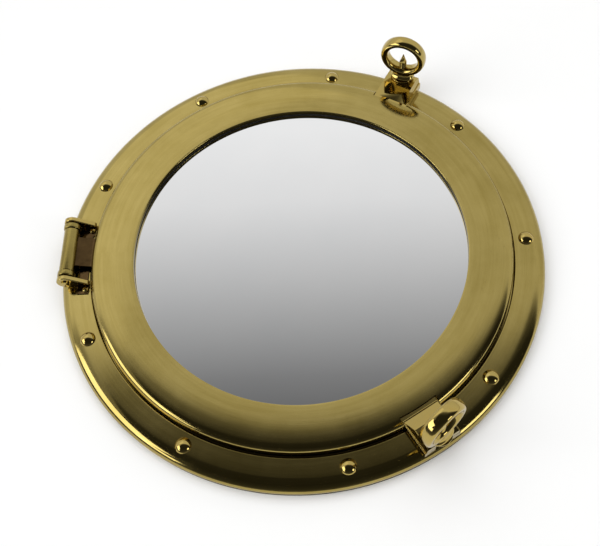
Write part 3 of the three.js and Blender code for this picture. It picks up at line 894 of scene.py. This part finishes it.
def threaded_shank(base, shoulder, tip, depth=0.42, pitch=1.1, steps=40, rows_per_turn=8):
    """A screw thread that runs out at both ends, above it a blunt cone."""
    verts = []
    rows = int((shoulder - base) / pitch * rows_per_turn)
    for j in range(rows + 1):
        z = base + (shoulder - base) * j / rows
        fade = min(1.0, (z - base) / 2.5, (shoulder - z) / 1.5 + 0.15)
        for i in range(steps):
            a = 2 * math.pi * i / steps
            phase = ((z - base) / pitch - i / steps) % 1.0
            r = BOLT_R - depth * fade * (1 - abs(2 * phase - 1)) ** 0.8
            verts.append((r * math.cos(a), r * math.sin(a), z))
    middle = shoulder + (tip - shoulder) * 0.5
    cone = [(shoulder + 0.4, BOLT_R * 0.9), (middle, BOLT_R * 0.5), (tip - 0.3, 0.35)]
    for z, r in cone:
        verts += circle(r, z, steps)
    levels = rows + 1 + len(cone)
    faces = skin(levels, steps)
    verts += [(0, 0, base), (0, 0, tip)]
    low, high = len(verts) - 2, len(verts) - 1
    for i in range(steps):
        j = (i + 1) % steps
        faces.append([low, j, i])
        faces.append([high, (levels - 1) * steps + i, (levels - 1) * steps + j])
    return verts, faces


def swing_bolt(k):
    """A threaded shank on a flat neck and an eye about the pivot pin."""
    place, n = dog_place(k), k + 1
    shank = threaded_shank(PIVOT_Z + 3.5, FACE_Z + 32.5, FACE_Z + 41)
    obj = new_object(f"bolt_shank_{n}", mesh_of("shank", *shank, place))
    piece(obj, CAST_BRASS, f"bolt_{n}", [f"swing_bolt_{n}"], "polished_brass", 50)
    bore, eye_r = PIVOT_PIN_R + 0.05, 2.7
    eye = round_corners([(bore, -eye_r, 0.2), (eye_r, -eye_r, 0.4), (eye_r, eye_r, 0.4), (bore, eye_r, 0.2)])
    obj = new_object(f"bolt_eye_{n}", mesh_of("eye", *turned(eye, 40), across_pivot(k)))
    piece(obj, CAST_BRASS, f"bolt_{n}", [], "polished_brass")
    wide, deep = 2.3, 2.6
    neck = prism([(-wide, -deep), (wide, -deep), (wide, deep), (-wide, deep)], PIVOT_Z + 1.7, PIVOT_Z + 4.2)
    obj = new_object(f"bolt_neck_{n}", mesh_of("neck", *neck, place))
    bevel(obj, 0.4, 3)
    piece(obj, CAST_BRASS, f"bolt_{n}", [], "polished_brass")


def dog_washer(k):
    bore, outer = BOLT_R + GAP, 9
    low, high = LUG_TOP_Z + GAP, LUG_TOP_Z + GAP + WASHER_THICK
    profile = round_corners([(bore, low, 0.3), (outer, low, 0.35), (outer, high, 0.45), (bore, high, 0.3)])
    name = f"nut_washer_{k + 1}"
    obj = new_object(name, mesh_of(name, *turned(profile, 64), dog_place(k)))
    piece(obj, DOME_BRASS, f"washer_{k + 1}", [f"dog_washer_{k + 1}"], "polished_brass")


NUT_BASE = LUG_TOP_Z + WASHER_THICK + 2 * GAP
# The nut's base and neck as rounded rectangles: height, half depth, half width, squareness
NUT_SECTIONS = [(0, 7.2, 9.6, 2.6), (0.5, 7.6, 10, 2.6), (1.6, 7.6, 10, 2.6), (2.4, 6.9, 9.6, 2.4),
                (3.6, 5.9, 8.8, 2.3), (5.2, 5.3, 8.4, 2.2), (7.4, 4.2, 8.8, 2.2)]
EYE_R, EYE_HALF_THICK, EYE_HALF_DEPTH, EYE_Z = 15.9, 3.2, 5.4, FACE_Z + 38.5


def nut_body(steps=72):
    """Vertices and faces of the base and neck, stacked up Z."""
    verts = []
    for z, half_x, half_y, power in NUT_SECTIONS:
        for i in range(steps):
            a = 2 * math.pi * i / steps
            c, s = math.cos(a), math.sin(a)
            verts.append((math.copysign(half_x * abs(c) ** (2 / power), c),
                          math.copysign(half_y * abs(s) ** (2 / power), s), NUT_BASE + z))
    faces = skin(len(NUT_SECTIONS), steps)
    last = (len(NUT_SECTIONS) - 1) * steps
    faces.append(list(range(steps))[::-1])
    faces.append(list(range(last, last + steps)))
    return verts, faces


def nut_eye(steps=120, tube_steps=36):
    """The finger ring, upright in the YZ plane: deep along its axis, with full rounded faces."""
    verts, faces, fullness = [], [], 0.8
    for j in range(steps):
        a = 2 * math.pi * j / steps
        for i in range(tube_steps):
            b = 2 * math.pi * i / tube_steps
            out = EYE_HALF_THICK * math.copysign(abs(math.cos(b)) ** fullness, math.cos(b))
            side = EYE_HALF_DEPTH * math.copysign(abs(math.sin(b)) ** fullness, math.sin(b))
            r = EYE_R + out
            verts.append((side, r * math.cos(a), EYE_Z + r * math.sin(a)))
    for j in range(steps):
        for i in range(tube_steps):
            here, ahead, beside = j * tube_steps, (j + 1) % steps * tube_steps, (i + 1) % tube_steps
            faces.append([here + i, here + beside, ahead + beside, ahead + i])
    return verts, faces


def ring_nut(k):
    """Body and ring are joined into one casting, with a fillet where they meet."""
    name = f"ring_nut_casting_{k + 1}"
    place = dog_place(k) @ Matrix.Rotation(math.radians(NUT_TURNS[k]), 4, "Z")
    body, eye = nut_body(), nut_eye()
    shift = len(body[0])
    verts = body[0] + eye[0]
    faces = body[1] + [[i + shift for i in face] for face in eye[1]]
    nut = new_object(name, mesh_of(name, verts, faces, place))
    join = nut.modifiers.new("join", "REMESH")
    join.mode = "VOXEL"
    join.voxel_size = 0.42 * MM
    ease = nut.modifiers.new("ease", "SMOOTH")
    ease.factor = 0.5
    ease.iterations = 7
    bake_modifiers(nut)
    piece(nut, CAST_BRASS, f"nut_{k + 1}", [f"ring_nut_{k + 1}"], "polished_brass", 70)


add_flange()
add_rivets()
add_door()
add_glass()
add_back()
add_hinge()
for dog in (0, 1):
    dog_lug(dog)
    dog_clevis(dog)
    swing_bolt(dog)
    dog_washer(dog)
    ring_nut(dog)
